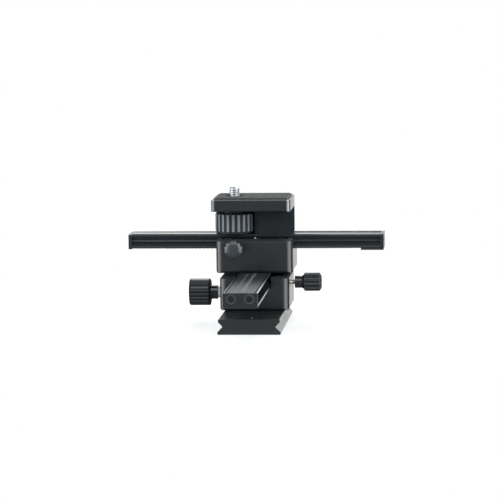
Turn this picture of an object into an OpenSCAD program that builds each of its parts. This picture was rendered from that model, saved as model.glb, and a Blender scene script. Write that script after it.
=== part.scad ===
// Two-axis macro focusing rail: a dovetail base plate carries two crossed rack-and-pinion
// stages, and the upper one carries a camera platform with a captive screw.
// Millimetres, Z up, X to the right, Y away from the user, origin under the lower carriage.

/* [Base plate] */
// widest part of the dovetail, at the bottom
base_w = 38; // [36:0.5:42]
// thickness of the plate
base_t = 9.2; // [8.8:0.1:12]
// reach of the plate in front of the lower carriage
base_reach = 40; // [20:1:60]
// whole length of the plate
base_len = 100; // [90:1:120]

/* [Carriages] */
// length along the rail
car_len = 47; // [46:0.5:60]
// width across the rail
car_w = 42.5; // [42:0.5:50]
// height of one carriage block
car_h = 20.5; // [20.5:0.5:26]
// rounding of the upright edges
car_round = 4; // [1:0.1:4.4]
// rounding of the top and bottom edges
car_edge = 1.8; // [0.5:0.1:2]

/* [Rails] */
// length of the bar between the end caps
bar_len = 153; // [150:1:180]
// width of the bar
bar_w = 20; // [19:0.5:22]
// height of the bar
bar_h = 8.6; // [8.4:0.1:10]
// height by which the bar stands above its carriage
bar_proud = 2.2; // [1.8:0.1:3]
// depth of the V groove along each side
groove_d = 2.4; // [2:0.1:2.6]
// thickness of an end cap
cap_t = 2; // [1.5:0.1:4]
// length of the travel stop under the far end
stop_len = 11.9; // [8:0.1:14]
// thickness of the travel stop
stop_t = 1.2; // [1:0.1:1.8]

/* [Drives] */
// gear module of rack and pinion
gear_m = 0.8; // [0.8:0.01:0.82]
// depth of the drive axis below the carriage top
drive_z = 11.8; // [11.3:0.1:12]
// diameter of the fluted knob head
knob_d = 16.5; // [14:0.1:18]
// length of the fluted knob head
knob_len = 13; // [10:0.5:18]
// diameter of the knob neck
neck_d = 8.8; // [8.6:0.1:11]
// length of the knob neck
neck_len = 4.6; // [4.4:0.1:10]
// ribs round the knob head
knob_ribs = 22; // [16:1:26]

/* [Locks] */
// distance of the lock axis from the carriage middle
lock_x = 11; // [9.5:0.5:13]
// depth of the lock axis below the carriage top
lock_z = 4.3; // [4.2:0.1:5.2]
// diameter of the lock knob head
lock_d = 11.2; // [9:0.1:12]
// length of the lock knob head
lock_len = 9.6; // [8:0.1:14]
// length of bare screw between carriage and knob
lock_bare = 2.9; // [2:0.1:6]
// ribs round the lock knob
lock_ribs = 12; // [8:1:14]

/* [Camera platform] */
// width of the platform
plat_w = 48.5; // [46:0.5:56]
// depth of the platform
plat_d = 39; // [38:0.5:46]
// thickness of the platform
plat_t = 7.2; // [6:0.1:10]
// thickness of the rubber pad
pad_t = 1.2; // [0.8:0.1:2]
// shift of the platform to the left of the rail middle
plat_shift = 1.8; // [0:0.1:3]
// height of the head block
head_h = 15; // [14:0.5:20]
// diameter of the thumbwheel
wheel_d = 24; // [20:0.2:24.4]
// ribs round the thumbwheel
wheel_ribs = 22; // [18:1:34]
// height of the camera screw above the pad
stud_h = 5.4; // [4:0.1:6]

/* [Hidden] */
$fn = 48;

// finishes
black_metal = [0.16, 0.17, 0.18];
rail_metal = [0.22, 0.23, 0.24];
black_plastic = [0.12, 0.13, 0.13];
rubber = [0.1, 0.1, 0.1];
steel = [0.62, 0.63, 0.65];
brass = [0.72, 0.58, 0.3];
nylon = [0.7, 0.71, 0.72];

// running fits: shaft in bush, sideways play of the bar, play of a screw in its thread
shaft_fit = 0.03;
slide_fit = 0.08;
thread_fit = 0.05;
end_fit = 0.05;

// heights of the stack
z_low = base_t;
z_up = z_low + car_h + bar_proud;
z_bar = z_up + car_h + bar_proud;
z_plat = z_bar + head_h;
z_plat_top = z_plat + plat_t;
z_pad_top = z_plat_top + pad_t;

// bar section, measured down from the bar's top face
lip_top = 7.3;
root_half = 0.35;
groove_rise = 2.9;
groove_mid = lip_top - groove_rise - root_half;
bar_bevel = 0.5;
lip_bevel = 0.4;
channel_d = bar_h - bar_proud + 0.4;
wall_y = bar_w / 2 + 0.25;

// rack and pinion
teeth = 13;
press = 25;
pitch = PI * gear_m;
pitch_r = gear_m * teeth / 2;
rack_line = drive_z - pitch_r + bar_proud;
rack_tip = rack_line + gear_m;
rack_root = rack_line - 1.25 * gear_m;
rack_w = 5;
rack_depth = 2;
rack_half = 68;
rack_teeth = 22;
rack_end = 4;
rack_screw_r = 1;
rack_screw_head = 2;
rack_grip = 2.5;
pinion_or = pitch_r + 0.8 * gear_m;
pinion_rr = pitch_r - 1.25 * gear_m;
pinion_half = rack_w / 2 - 0.3;
pocket_r = pinion_or + 0.45;
pocket_y = -pinion_half - 0.3;
bush_y = bar_w / 2 + 1;
inner_r = 4;
inner_y = pocket_y - 5.7;
shaft_r = 2.5;
collar_r = 3.5;
shaft_seat = 5;
spacer_t = 3;
spacer_r = 3.5;
knob_bevel = 0.6;
knob_flute = 0.8;
grub_r = 1.5;

// the lower bar rests a whole number of teeth towards the user, close to its travel stop
y_rest = -floor((bar_len / 2 - stop_len - car_len / 2) / pitch) * pitch;

// gib let into the carriage top on the lock side
gib_half = car_len / 2 - 3;
gib_wall = 4.25;
gib_back = car_w / 2 - gib_wall;
gib_h = lip_top - bar_proud + 0.1;
gib_spots = [-gib_half + 4, 1, gib_half - 4];
gib_y = (gib_back + bar_w / 2) / 2;
gib_screw_r = 1.25;
gib_head_r = 2.5;
gib_screw_len = 9;

// lock screw and shoe, measured outwards from the rail middle
lock_r = 1.5;
shoe_gap = 0.6;
shoe_in = bar_w / 2 + shoe_gap;
shoe_out = shoe_in + 3.4;
lock_neck_r = 3.7;
lock_neck_len = 4.4;
lock_cone = 1.3;
lock_dome = 1.2;
lock_rim = 1.1;
lock_flute = 0.95;
lock_bevel = 0.2;
lock_seat = 4;

// screws between bar and what stands on it
foot_r = 1.25;
foot_head_r = 2.25;
foot_head_h = 2.5;
foot_y = 5.6;
foot_grip = 3.8;
head_grip = 6;
rear_spots = [for (s = [-1, 1], t = [-1, 1]) [s * 14 - y_rest, t * foot_y]];
head_spots = [for (s = [6, 16], t = [-1, 1]) [s, t * foot_y]];
base_spots = [for (s = [-1, 1], t = [-1, 1]) [s * 10, t * 16]];
base_screw_r = 2;
base_head_r = 3.5;
base_head_h = 4;
base_grip = 7;
base_sink = 0.2;
socket_r = 2.6;
socket_depth = 7.5;
socket_from_front = 18;
cap_spot = 5.25;
cap_mid = -bar_h / 2;
cap_drop = 0.4;
cap_over = 0.2;
cap_round = 0.7;
cap_screw_z = cap_mid + 0.8;
cap_screw_r = 1.25;
cap_head_r = 2.7;
cap_grip = 7;
stop_spot = 6;
stop_screw_r = 1;
stop_head_r = 1.9;
stop_grip = 3;

// camera platform
plat_y = -car_w / 2 - 0.75;
plat_x = -plat_shift - plat_w / 2;
wheel_x = -plat_shift - 11.4;
wheel_y = -2;
wheel_r = wheel_d / 2;
wheel_top = z_plat - 2.4;
wheel_low = z_bar + 1.4;
wheel_h = wheel_top - wheel_low;
stud_r = 3.175;
hub_r = 6.5;
wheel_lip = 0.9;
wheel_flute = 0.75;
wheel_bevel = 0.5;
thrust_t = 0.8;
thrust_z = z_plat - thrust_t - 0.1;
stud_bevel = 0.6;
wheel_side = 2.7;
wheel_back = 0.8;
pocket_x = wheel_x + wheel_r + wheel_side;
pocket_back = wheel_y + wheel_r + wheel_back;
ring_r = 4.9;
ring_t = 0.8;
ring_recess = 1.2;
ring_bite = 0.6;
ring_room = 0.6;
plat_round = 2;
plat_edge = 0.6;
pad_inset = 1.5;
plat_screw_r = 2;
plat_head_r = 3.8;
plat_grip = 7;
plat_rear = plat_y + plat_d - 3.4;
head_front = -bar_w / 2;
plat_spots = [[-plat_shift + 12, head_front + 4.5], [-plat_shift + 18, plat_rear - 3.6],
    [-plat_shift - 16, plat_rear]];

// plan helpers

module rsq(l, w, r) {
    square([l - 2 * r, w], center = true);
    square([l, w - 2 * r], center = true);
    for (s = [-1, 1], t = [-1, 1]) {
        translate([s * (l / 2 - r), t * (w / 2 - r)]) circle(r);
    }
}

module soft_block(l, w, h, rv, re) {
    intersection() {
        linear_extrude(h) rsq(l, w, rv);
        translate([0, w / 2 + 1, h / 2]) rotate([90, 0, 0]) linear_extrude(w + 2) rsq(l, h, re);
        translate([-l / 2 - 1, 0, h / 2]) rotate([90, 0, 90]) linear_extrude(l + 2) rsq(w, h, re);
    }
}

// a rod along +Y from y0 to y1
module rod_y(r, y0, y1) {
    translate([0, y0, 0]) rotate([-90, 0, 0]) cylinder(r = r, h = y1 - y0);
}

// a section drawn in Y and Z, drawn out along X on both sides of the middle
module along_x(half) {
    translate([-half, 0, 0]) rotate([90, 0, 90]) linear_extrude(2 * half) children();
}

module hex_socket(across, depth) {
    r = across / sqrt(3);
    linear_extrude(depth) polygon([for (i = [0 : 5]) [r * cos(60 * i), r * sin(60 * i)]]);
}

// screw pointing down from z = 0, head below that level
module cap_head_screw(r, head_r, head_h, len) {
    difference() {
        union() {
            translate([0, 0, -head_h]) cylinder(r = head_r, h = head_h);
            translate([0, 0, -head_h - len]) cylinder(r = r, h = len);
        }
        translate([0, 0, -head_h * 0.55]) hex_socket(head_r * 0.95, head_h);
    }
}

module flat_head(r, head_r) {
    translate([0, 0, r - head_r]) cylinder(r1 = r, r2 = head_r, h = head_r - r);
}

module flat_head_screw(r, head_r, len) {
    difference() {
        union() {
            flat_head(r, head_r);
            translate([0, 0, -len]) cylinder(r = r, h = len + r - head_r);
        }
        translate([0, 0, -0.5 * (head_r - r) - 0.2]) {
            translate([-0.6 * head_r, -0.16 * head_r, 0]) cube([1.2 * head_r, 0.32 * head_r, 3]);
            translate([-0.16 * head_r, -0.6 * head_r, 0]) cube([0.32 * head_r, 1.2 * head_r, 3]);
        }
    }
}

// the hole that takes a flat head screw
module flat_head_hole(r, head_r, len) {
    flat_head(r, head_r);
    translate([0, 0, -len]) cylinder(r = r, h = len);
    cylinder(r = head_r, h = 3);
}

// round bar with flutes, along +Z, with bevelled ends
module fluted(r, len, ribs, cut, bevel) {
    intersection() {
        linear_extrude(len) difference() {
            circle(r);
            for (i = [0 : ribs - 1]) {
                rotate(360 * i / ribs) translate([r + 0.25 * cut, 0]) circle(cut);
            }
        }
        rotate_extrude() polygon([[0, 0], [r - bevel, 0], [r, bevel], [r, len - bevel],
            [r - bevel, len], [0, len]]);
    }
}

// frames: each stage is drawn with its rail along X and its carriage bottom at z = 0

module lower() {
    translate([0, 0, z_low]) rotate([0, 0, 90]) children();
}

module upper() {
    translate([0, 0, z_up]) children();
}

module on_lower_bar() {
    lower() translate([y_rest, 0, car_h + bar_proud]) children();
}

module on_upper_bar() {
    upper() translate([0, 0, car_h + bar_proud]) children();
}

// base plate

module dovetail() {
    h = base_w / 2;
    t = h - 0.5;
    waist = h - 3.1;
    polygon([[-h + 0.4, 0], [h - 0.4, 0], [h, 0.4], [h, 1.4], [waist, 4.5], [waist, 4.9],
        [t, 4.9 + t - waist], [t, base_t - 0.4], [t - 0.4, base_t], [-t + 0.4, base_t],
        [-t, base_t - 0.4], [-t, 4.9 + t - waist], [-waist, 4.9], [-waist, 4.5], [-h, 1.4], [-h, 0.4]]);
}

module base_plate() {
    front = -car_len / 2 - base_reach;
    color(black_metal) difference() {
        translate([0, front + base_len, 0]) rotate([90, 0, 0]) linear_extrude(base_len) dovetail();
        for (p = base_spots) {
            translate([p[0], p[1], -1]) cylinder(r = base_screw_r, h = base_t + 2);
            translate([p[0], p[1], -1]) cylinder(r = base_head_r, h = base_sink + base_head_h + 1);
        }
        translate([0, front + socket_from_front, -1]) cylinder(r = socket_r, h = socket_depth + 1);
    }
}

module base_screws() {
    color(steel) for (p = base_spots) {
        translate([p[0], p[1], base_sink]) mirror([0, 0, 1])
            cap_head_screw(base_screw_r, base_head_r, base_head_h,
                base_t - base_sink - base_head_h + base_grip - 0.2);
    }
}

// carriage with its channel, ridge, bores and screw holes

module channel_section() {
    b = bar_w / 2 + slide_fit;
    top = car_h + bar_proud;
    polygon([[-wall_y, car_h + 2], [-wall_y, car_h - channel_d], [b, car_h - channel_d],
        [b, top - lip_top], [b - groove_d, top - groove_mid - root_half],
        [b - groove_d, top - groove_mid + root_half], [b, top - groove_mid + root_half + groove_rise],
        [b, top + 2]]);
}

module carriage(spots, hole_r, hole_depth) {
    difference() {
        soft_block(car_len, car_w, car_h, car_round, car_edge);
        along_x(car_len) channel_section();
        // relief for the rack teeth
        translate([-car_len, -rack_w / 2 - 0.4, car_h + bar_proud - rack_tip - 0.4])
            cube([2 * car_len, rack_w + 0.8, 4]);
        // seat of the gib
        translate([-gib_half, -gib_back, car_h - gib_h]) cube([2 * gib_half, gib_back, gib_h + 2]);
        for (x = gib_spots) {
            translate([x, -gib_y, car_h - gib_screw_len - 1])
                cylinder(r = gib_screw_r, h = gib_screw_len + 2);
        }
        translate([0, 0, car_h - drive_z]) {
            rod_y(pocket_r, pocket_y, car_w / 2 + 1);
            rod_y(inner_r, inner_y, pocket_y + 1);
        }
        translate([-lock_x, 0, car_h - lock_z]) rod_y(lock_r + thread_fit, -car_w, -bar_w / 2);
        for (p = spots) translate([p[0], p[1], -1]) cylinder(r = hole_r, h = hole_depth + 1);
    }
}

module gib() {
    b = bar_w / 2 + slide_fit;
    top = car_h + bar_proud;
    upper_flank = (groove_mid - root_half - bar_proud) * groove_d / groove_rise;
    difference() {
        along_x(gib_half) polygon([[-gib_back, car_h], [-gib_back, car_h - gib_h], [-b, car_h - gib_h],
            [-b, top - lip_top], [-b + groove_d, top - groove_mid - root_half],
            [-b + groove_d, top - groove_mid + root_half], [-b + groove_d - upper_flank, car_h]]);
        translate([-lock_x, 0, car_h - lock_z]) rod_y(lock_r + thread_fit, -car_w, 0);
        for (x = gib_spots) {
            translate([x, -gib_y, car_h]) flat_head_hole(gib_screw_r, gib_head_r, gib_h + 1);
        }
    }
}

module gib_screws() {
    for (x = gib_spots) {
        translate([x, -gib_y, car_h]) flat_head_screw(gib_screw_r, gib_head_r, gib_screw_len);
    }
}

// drive: bushes, pinion shaft, spacer and knob

module drive_bush() {
    translate([0, 0, car_h - drive_z]) difference() {
        rod_y(pocket_r, bush_y, car_w / 2);
        rod_y(shaft_r + shaft_fit, bush_y - 1, car_w / 2 + 1);
    }
}

module inner_bush() {
    translate([0, 0, car_h - drive_z]) difference() {
        rod_y(inner_r, inner_y, pocket_y);
        rod_y(shaft_r + shaft_fit, inner_y + 1, pocket_y + 1);
    }
}

function inv(a) = tan(a) * 180 / PI - a;

// half the angle that a pinion tooth fills at radius r, with a little backlash
function tooth_half(r) =
    90 / teeth - 0.06 / pitch_r * 180 / PI + inv(press) - inv(acos(pitch_r * cos(press) / r));

module pinion_section() {
    base_r = pitch_r * cos(press) + 0.001;
    radii = [for (i = [0 : 6]) base_r + (pinion_or - base_r) * i / 6];
    foot = tooth_half(base_r);
    polygon([for (k = [0 : teeth - 1]) let (mid = 90 + 360 / teeth * (k + 0.5))
        each concat([[pinion_rr * cos(mid - foot), pinion_rr * sin(mid - foot)]],
            [for (r = radii) [r * cos(mid - tooth_half(r)), r * sin(mid - tooth_half(r))]],
            [for (i = [6 : -1 : 0]) let (r = radii[i])
                [r * cos(mid + tooth_half(r)), r * sin(mid + tooth_half(r))]],
            [[pinion_rr * cos(mid + foot), pinion_rr * sin(mid + foot)]])]);
}

module pinion_shaft() {
    translate([0, 0, car_h - drive_z]) {
        translate([0, pinion_half, 0]) rotate([90, 0, 0]) linear_extrude(2 * pinion_half) pinion_section();
        rod_y(shaft_r, inner_y + 1 + end_fit, car_w / 2 + spacer_t + neck_len + shaft_seat);
        rod_y(collar_r, pinion_half - 0.5, bush_y - end_fit);
    }
}

module drive_spacer() {
    translate([0, car_w / 2 + end_fit, car_h - drive_z]) difference() {
        rod_y(spacer_r, 0, spacer_t);
        rod_y(shaft_r, -1, spacer_t + 1);
    }
}

module drive_knob() {
    y0 = car_w / 2 + end_fit + spacer_t;
    translate([0, y0, car_h - drive_z]) difference() {
        union() {
            rod_y(neck_d / 2, 0, neck_len + 1);
            translate([0, neck_len, 0]) rotate([-90, 0, 0])
                fluted(knob_d / 2, knob_len, knob_ribs, knob_flute, knob_bevel);
        }
        rod_y(shaft_r, -1, neck_len + shaft_seat - end_fit);
        translate([0, neck_len / 2, -neck_d]) cylinder(r = grub_r, h = neck_d);
        // shallow dished end
        translate([0, neck_len + knob_len - 0.6, 0]) rod_y(knob_d / 2 - 2.6, 0, 2);
    }
}

module knob_grub() {
    translate([0, car_w / 2 + end_fit + spacer_t + neck_len / 2, car_h - drive_z]) difference() {
        translate([0, 0, -neck_d / 2 + 0.3]) cylinder(r = grub_r, h = neck_d / 2 - 0.3 - shaft_r);
        translate([0, 0, -neck_d / 2 - 1]) hex_socket(1.5, 2.2);
    }
}

// lock: shoe, screw and knob along -Y

module lock_at() {
    translate([-lock_x, 0, car_h - lock_z]) rotate([0, 0, 180]) children();
}

module lock_shoe() {
    lock_at() rod_y(lock_r, shoe_in, shoe_out);
}

module lock_screw() {
    lock_at() rod_y(lock_r, shoe_out + 0.03, car_w / 2 + lock_bare + lock_neck_len + lock_seat);
}

module lock_knob() {
    y0 = car_w / 2 + lock_bare;
    r = lock_d / 2;
    head = lock_neck_len + lock_cone;
    lock_at() translate([0, y0, 0]) difference() {
        union() {
            rod_y(lock_neck_r, 0, lock_neck_len);
            translate([0, lock_neck_len, 0]) rotate([-90, 0, 0])
                cylinder(r1 = lock_neck_r, r2 = r - 0.9, h = lock_cone);
            translate([0, head, 0]) rotate([-90, 0, 0])
                fluted(r, lock_len, lock_ribs, lock_flute, lock_bevel);
            translate([0, head + lock_len, 0]) rotate([-90, 0, 0]) rotate_extrude() intersection() {
                translate([0, dome_r_shift(r - lock_rim)]) circle(dome_r(r - lock_rim), $fn = 96);
                square([r - lock_rim, lock_dome]);
            }
        }
        rod_y(lock_r, -1, lock_neck_len + lock_seat);
    }
}

// radius of the dome that rises by lock_dome over a base of radius b
function dome_r(b) = (b * b + lock_dome * lock_dome) / (2 * lock_dome);
function dome_r_shift(b) = lock_dome - dome_r(b);

// rail: bar, rack, caps and travel stop, with the bar's top face at z = 0

module bar_section() {
    b = bar_w / 2;
    half = [[b - bar_bevel, 0], [b, -bar_bevel], [b, -groove_mid + root_half + groove_rise],
        [b - groove_d, -groove_mid + root_half], [b - groove_d, -groove_mid - root_half],
        [b, -lip_top], [b, -bar_h + lip_bevel], [b - lip_bevel, -bar_h]];
    polygon(concat(half, [for (i = [len(half) - 1 : -1 : 0]) [-half[i][0], half[i][1]]]));
}

module bar(spots) {
    difference() {
        along_x(bar_len / 2) bar_section();
        translate([-rack_half, -rack_w / 2, -bar_h - 1]) cube([2 * rack_half, rack_w, rack_depth + 1]);
        for (s = [-1, 1]) {
            translate([s * (rack_half - rack_end), 0, -bar_h])
                cylinder(r = rack_screw_r, h = rack_depth + rack_grip);
            for (t = [-1, 1]) {
                translate([s * bar_len / 2, t * cap_spot, cap_screw_z]) rotate([0, -s * 90, 0])
                    translate([0, 0, -1]) cylinder(r = cap_screw_r, h = cap_grip + 2);
            }
        }
        for (t = [-1, 1]) {
            translate([bar_len / 2 - stop_len / 2, t * stop_spot, -bar_h - 1])
                cylinder(r = stop_screw_r, h = stop_grip + 1.2);
        }
        for (p = spots) {
            translate([p[0], p[1], -bar_h - 1]) cylinder(r = foot_r, h = bar_h + 2);
            translate([p[0], p[1], -bar_h - 1]) cylinder(r = foot_head_r, h = foot_head_h + 1.1);
        }
    }
}

module foot_screws(spots, grip) {
    for (p = spots) {
        translate([p[0], p[1], -bar_h + 0.1]) mirror([0, 0, 1])
            cap_head_screw(foot_r, foot_head_r, foot_head_h, bar_h - 0.1 - foot_head_h + grip);
    }
}

module rack() {
    wide = pitch / 4 - 0.03;
    t = tan(press);
    tip = wide - gear_m * t;
    root = wide + 1.25 * gear_m * t;
    span = rack_teeth * pitch + pitch / 2;
    profile = concat([[-rack_half, rack_depth - bar_h], [-rack_half, -bar_h], [-span, -bar_h],
            [-span, -rack_root]],
        [for (k = [-rack_teeth : rack_teeth]) each [[k * pitch - root, -rack_root],
            [k * pitch - tip, -rack_tip], [k * pitch + tip, -rack_tip], [k * pitch + root, -rack_root]]],
        [[span, -rack_root], [span, -bar_h], [rack_half, -bar_h], [rack_half, rack_depth - bar_h]]);
    difference() {
        translate([0, rack_w / 2, 0]) rotate([90, 0, 0]) linear_extrude(rack_w) polygon(profile);
        for (s = [-1, 1]) {
            translate([s * (rack_half - rack_end), 0, -bar_h]) mirror([0, 0, 1])
                flat_head_hole(rack_screw_r, rack_screw_head, rack_depth + 1);
        }
    }
}

module rack_screws() {
    for (s = [-1, 1]) {
        translate([s * (rack_half - rack_end), 0, -bar_h]) mirror([0, 0, 1])
            flat_head_screw(rack_screw_r, rack_screw_head, rack_depth + rack_grip);
    }
}

// the cap at the far end, s = 1, stands on the travel stop; the other reaches a little lower
module end_cap(s) {
    inner = s > 0 ? bar_len / 2 : -bar_len / 2 - cap_t;
    drop = s > 0 ? 0 : cap_drop;
    difference() {
        translate([inner, 0, cap_mid - drop / 2]) rotate([90, 0, 90])
            linear_extrude(cap_t) rsq(bar_w + cap_over, bar_h + drop, cap_round);
        for (t = [-1, 1]) {
            translate([s * (bar_len / 2 + cap_t), t * cap_spot, cap_screw_z]) rotate([0, s * 90, 0])
                flat_head_hole(cap_screw_r, cap_head_r, cap_t + 4);
        }
    }
}

module cap_screws() {
    for (s = [-1, 1], t = [-1, 1]) {
        translate([s * (bar_len / 2 + cap_t), t * cap_spot, cap_screw_z]) rotate([0, s * 90, 0])
            flat_head_screw(cap_screw_r, cap_head_r, cap_t + cap_grip);
    }
}

module rail_stop() {
    difference() {
        translate([bar_len / 2 - stop_len, -bar_w / 2, -bar_h - stop_t])
            cube([stop_len + cap_t, bar_w, stop_t]);
        for (t = [-1, 1]) {
            translate([bar_len / 2 - stop_len / 2, t * stop_spot, -bar_h - stop_t]) mirror([0, 0, 1])
                flat_head_hole(stop_screw_r, stop_head_r, stop_t + 1);
        }
    }
}

module stop_screws() {
    for (t = [-1, 1]) {
        translate([bar_len / 2 - stop_len / 2, t * stop_spot, -bar_h - stop_t]) mirror([0, 0, 1])
            flat_head_screw(stop_screw_r, stop_head_r, stop_t + stop_grip);
    }
}

// lower stage, moving along Y

module y_carriage() {
    color(black_metal) lower() carriage([for (p = base_spots) [p[1], -p[0]]], base_screw_r, base_grip);
}

module y_gib() {
    color(black_plastic) lower() gib();
}

module y_gib_screws() {
    color(steel) lower() gib_screws();
}

module y_drive_bush() {
    color(brass) lower() drive_bush();
}

module y_inner_bush() {
    color(brass) lower() inner_bush();
}

module y_pinion_shaft() {
    color(steel) lower() pinion_shaft();
}

module y_drive_spacer() {
    color(nylon) lower() drive_spacer();
}

module y_drive_knob() {
    color(black_plastic) lower() drive_knob();
}

module y_knob_grub() {
    color(steel) lower() knob_grub();
}

module y_lock_shoe() {
    color(brass) lower() lock_shoe();
}

module y_lock_screw() {
    color(steel) lower() lock_screw();
}

module y_lock_knob() {
    color(black_plastic) lower() lock_knob();
}

module y_rail() {
    color(rail_metal) on_lower_bar() bar(rear_spots);
}

module y_rack() {
    color(brass) on_lower_bar() rack();
}

module y_rack_screws() {
    color(steel) on_lower_bar() rack_screws();
}

module y_cap_front() {
    color(black_plastic) on_lower_bar() end_cap(-1);
}

module y_cap_back() {
    color(black_plastic) on_lower_bar() end_cap(1);
}

module y_cap_screws() {
    color(steel) on_lower_bar() cap_screws();
}

module y_rail_stop() {
    color(black_metal) on_lower_bar() rail_stop();
}

module y_stop_screws() {
    color(steel) on_lower_bar() stop_screws();
}

// upper stage, moving along X

module x_carriage() {
    color(black_metal) upper() carriage([for (p = rear_spots) [-p[1], p[0] + y_rest]], foot_r, foot_grip);
}

module x_carriage_screws() {
    color(steel) on_lower_bar() foot_screws(rear_spots, foot_grip);
}

module x_gib() {
    color(black_plastic) upper() gib();
}

module x_gib_screws() {
    color(steel) upper() gib_screws();
}

module x_drive_bush() {
    color(brass) upper() drive_bush();
}

module x_inner_bush() {
    color(brass) upper() inner_bush();
}

module x_pinion_shaft() {
    color(steel) upper() pinion_shaft();
}

module x_drive_spacer() {
    color(nylon) upper() drive_spacer();
}

module x_drive_knob() {
    color(black_plastic) upper() drive_knob();
}

module x_knob_grub() {
    color(steel) upper() knob_grub();
}

module x_lock_shoe() {
    color(brass) upper() lock_shoe();
}

module x_lock_screw() {
    color(steel) upper() lock_screw();
}

module x_lock_knob() {
    color(black_plastic) upper() lock_knob();
}

module x_rail() {
    color(rail_metal) on_upper_bar() bar(head_spots);
}

module x_rack() {
    color(brass) on_upper_bar() rack();
}

module x_rack_screws() {
    color(steel) on_upper_bar() rack_screws();
}

module x_cap_left() {
    color(black_plastic) on_upper_bar() end_cap(-1);
}

module x_cap_right() {
    color(black_plastic) on_upper_bar() end_cap(1);
}

module x_cap_screws() {
    color(steel) on_upper_bar() cap_screws();
}

module x_rail_stop() {
    color(black_metal) on_upper_bar() rail_stop();
}

module x_stop_screws() {
    color(steel) on_upper_bar() stop_screws();
}

// head block, platform, pad and the captive camera screw

module plat_plan(inset) {
    translate([plat_x + plat_w / 2, plat_y + plat_d / 2])
        rsq(plat_w - 2 * inset, plat_d - 2 * inset, plat_round);
}

module head_block() {
    color(black_metal) difference() {
        translate([0, 0, z_bar]) linear_extrude(head_h) plat_plan(0);
        translate([plat_x - 1, plat_y - 1, z_bar - 1])
            cube([pocket_x - plat_x + 1, pocket_back - plat_y + 1, head_h + 2]);
        // the front stands back, flush with the bar
        translate([plat_x - 1, plat_y - 1, z_bar - 1])
            cube([plat_w + 2, head_front - plat_y + 1, head_h + 2]);
        for (p = head_spots) {
            translate([p[0], p[1], z_bar - 1]) cylinder(r = foot_r, h = head_grip + 1);
        }
        for (p = plat_spots) {
            translate([p[0], p[1], z_plat - plat_grip]) cylinder(r = plat_screw_r, h = plat_grip + 1);
        }
    }
}

module head_screws() {
    color(steel) on_upper_bar() foot_screws(head_spots, head_grip);
}

module platform() {
    color(black_metal) difference() {
        intersection() {
            translate([0, 0, z_plat]) linear_extrude(plat_t) plat_plan(0);
            translate([plat_x + plat_w / 2, plat_y + plat_d + 1, z_plat + plat_t / 2])
                rotate([90, 0, 0]) linear_extrude(plat_d + 2) rsq(plat_w, plat_t, plat_edge);
            translate([plat_x - 1, plat_y + plat_d / 2, z_plat + plat_t / 2])
                rotate([90, 0, 90]) linear_extrude(plat_w + 2) rsq(plat_d, plat_t, plat_edge);
        }
        translate([wheel_x, wheel_y, z_plat - 1]) cylinder(r = stud_r + shaft_fit, h = plat_t + 2);
        translate([wheel_x, wheel_y, z_plat_top - ring_recess]) cylinder(r = ring_r + ring_room, h = 3);
        for (p = plat_spots) {
            translate([p[0], p[1], z_plat_top]) flat_head_hole(plat_screw_r, plat_head_r, plat_t + 1);
        }
    }
}

module platform_screws() {
    color(steel) for (p = plat_spots) {
        translate([p[0], p[1], z_plat_top]) flat_head_screw(plat_screw_r, plat_head_r, plat_t + plat_grip);
    }
}

module platform_pad() {
    color(rubber) difference() {
        translate([0, 0, z_plat_top]) linear_extrude(pad_t) plat_plan(pad_inset);
        translate([wheel_x, wheel_y, z_plat_top - 1]) cylinder(r = ring_r + ring_room, h = pad_t + 2);
    }
}

module thumbwheel() {
    color(black_metal) translate([wheel_x, wheel_y, 0]) difference() {
        union() {
            translate([0, 0, wheel_low]) fluted(wheel_r, wheel_h, wheel_ribs, wheel_flute, wheel_bevel);
            translate([0, 0, wheel_low - wheel_lip]) cylinder(r = wheel_r - 1, h = 2);
            translate([0, 0, wheel_top - 1]) cylinder(r = hub_r, h = thrust_z - wheel_top + 1);
        }
        translate([0, 0, wheel_low - 2]) cylinder(r = stud_r, h = head_h + 4);
    }
}

module thrust_washer() {
    color(brass) translate([wheel_x, wheel_y, thrust_z]) difference() {
        cylinder(r = hub_r, h = thrust_t);
        translate([0, 0, -1]) cylinder(r = stud_r, h = 3);
    }
}

module camera_screw() {
    ring_z = z_plat_top - ring_recess + end_fit;
    foot = wheel_low - wheel_lip;
    tip = z_pad_top + stud_h;
    color(steel) translate([wheel_x, wheel_y, 0]) difference() {
        union() {
            translate([0, 0, foot]) cylinder(r = stud_r, h = tip - stud_bevel - foot);
            translate([0, 0, tip - stud_bevel])
                cylinder(r1 = stud_r, r2 = stud_r - stud_bevel, h = stud_bevel);
        }
        translate([0, 0, ring_z]) difference() {
            cylinder(r = stud_r + 1, h = ring_t);
            translate([0, 0, -1]) cylinder(r = stud_r - ring_bite, h = ring_t + 2);
        }
    }
}

module retaining_ring() {
    ring_z = z_plat_top - ring_recess + end_fit;
    color(steel) translate([wheel_x, wheel_y, ring_z]) difference() {
        cylinder(r = ring_r, h = ring_t);
        translate([0, 0, -1]) cylinder(r = stud_r - ring_bite, h = ring_t + 2);
    }
}

base_plate();
base_screws();
y_carriage();
y_gib();
y_gib_screws();
y_drive_bush();
y_inner_bush();
y_pinion_shaft();
y_drive_spacer();
y_drive_knob();
y_knob_grub();
y_lock_shoe();
y_lock_screw();
y_lock_knob();
y_rail();
y_rack();
y_rack_screws();
y_cap_front();
y_cap_back();
y_cap_screws();
y_rail_stop();
y_stop_screws();
x_carriage();
x_carriage_screws();
x_gib();
x_gib_screws();
x_drive_bush();
x_inner_bush();
x_pinion_shaft();
x_drive_spacer();
x_drive_knob();
x_knob_grub();
x_lock_shoe();
x_lock_screw();
x_lock_knob();
x_rail();
x_rack();
x_rack_screws();
x_cap_left();
x_cap_right();
x_cap_screws();
x_rail_stop();
x_stop_screws();
head_block();
head_screws();
platform();
platform_screws();
platform_pad();
thumbwheel();
thrust_washer();
camera_screw();
retaining_ring();
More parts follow.
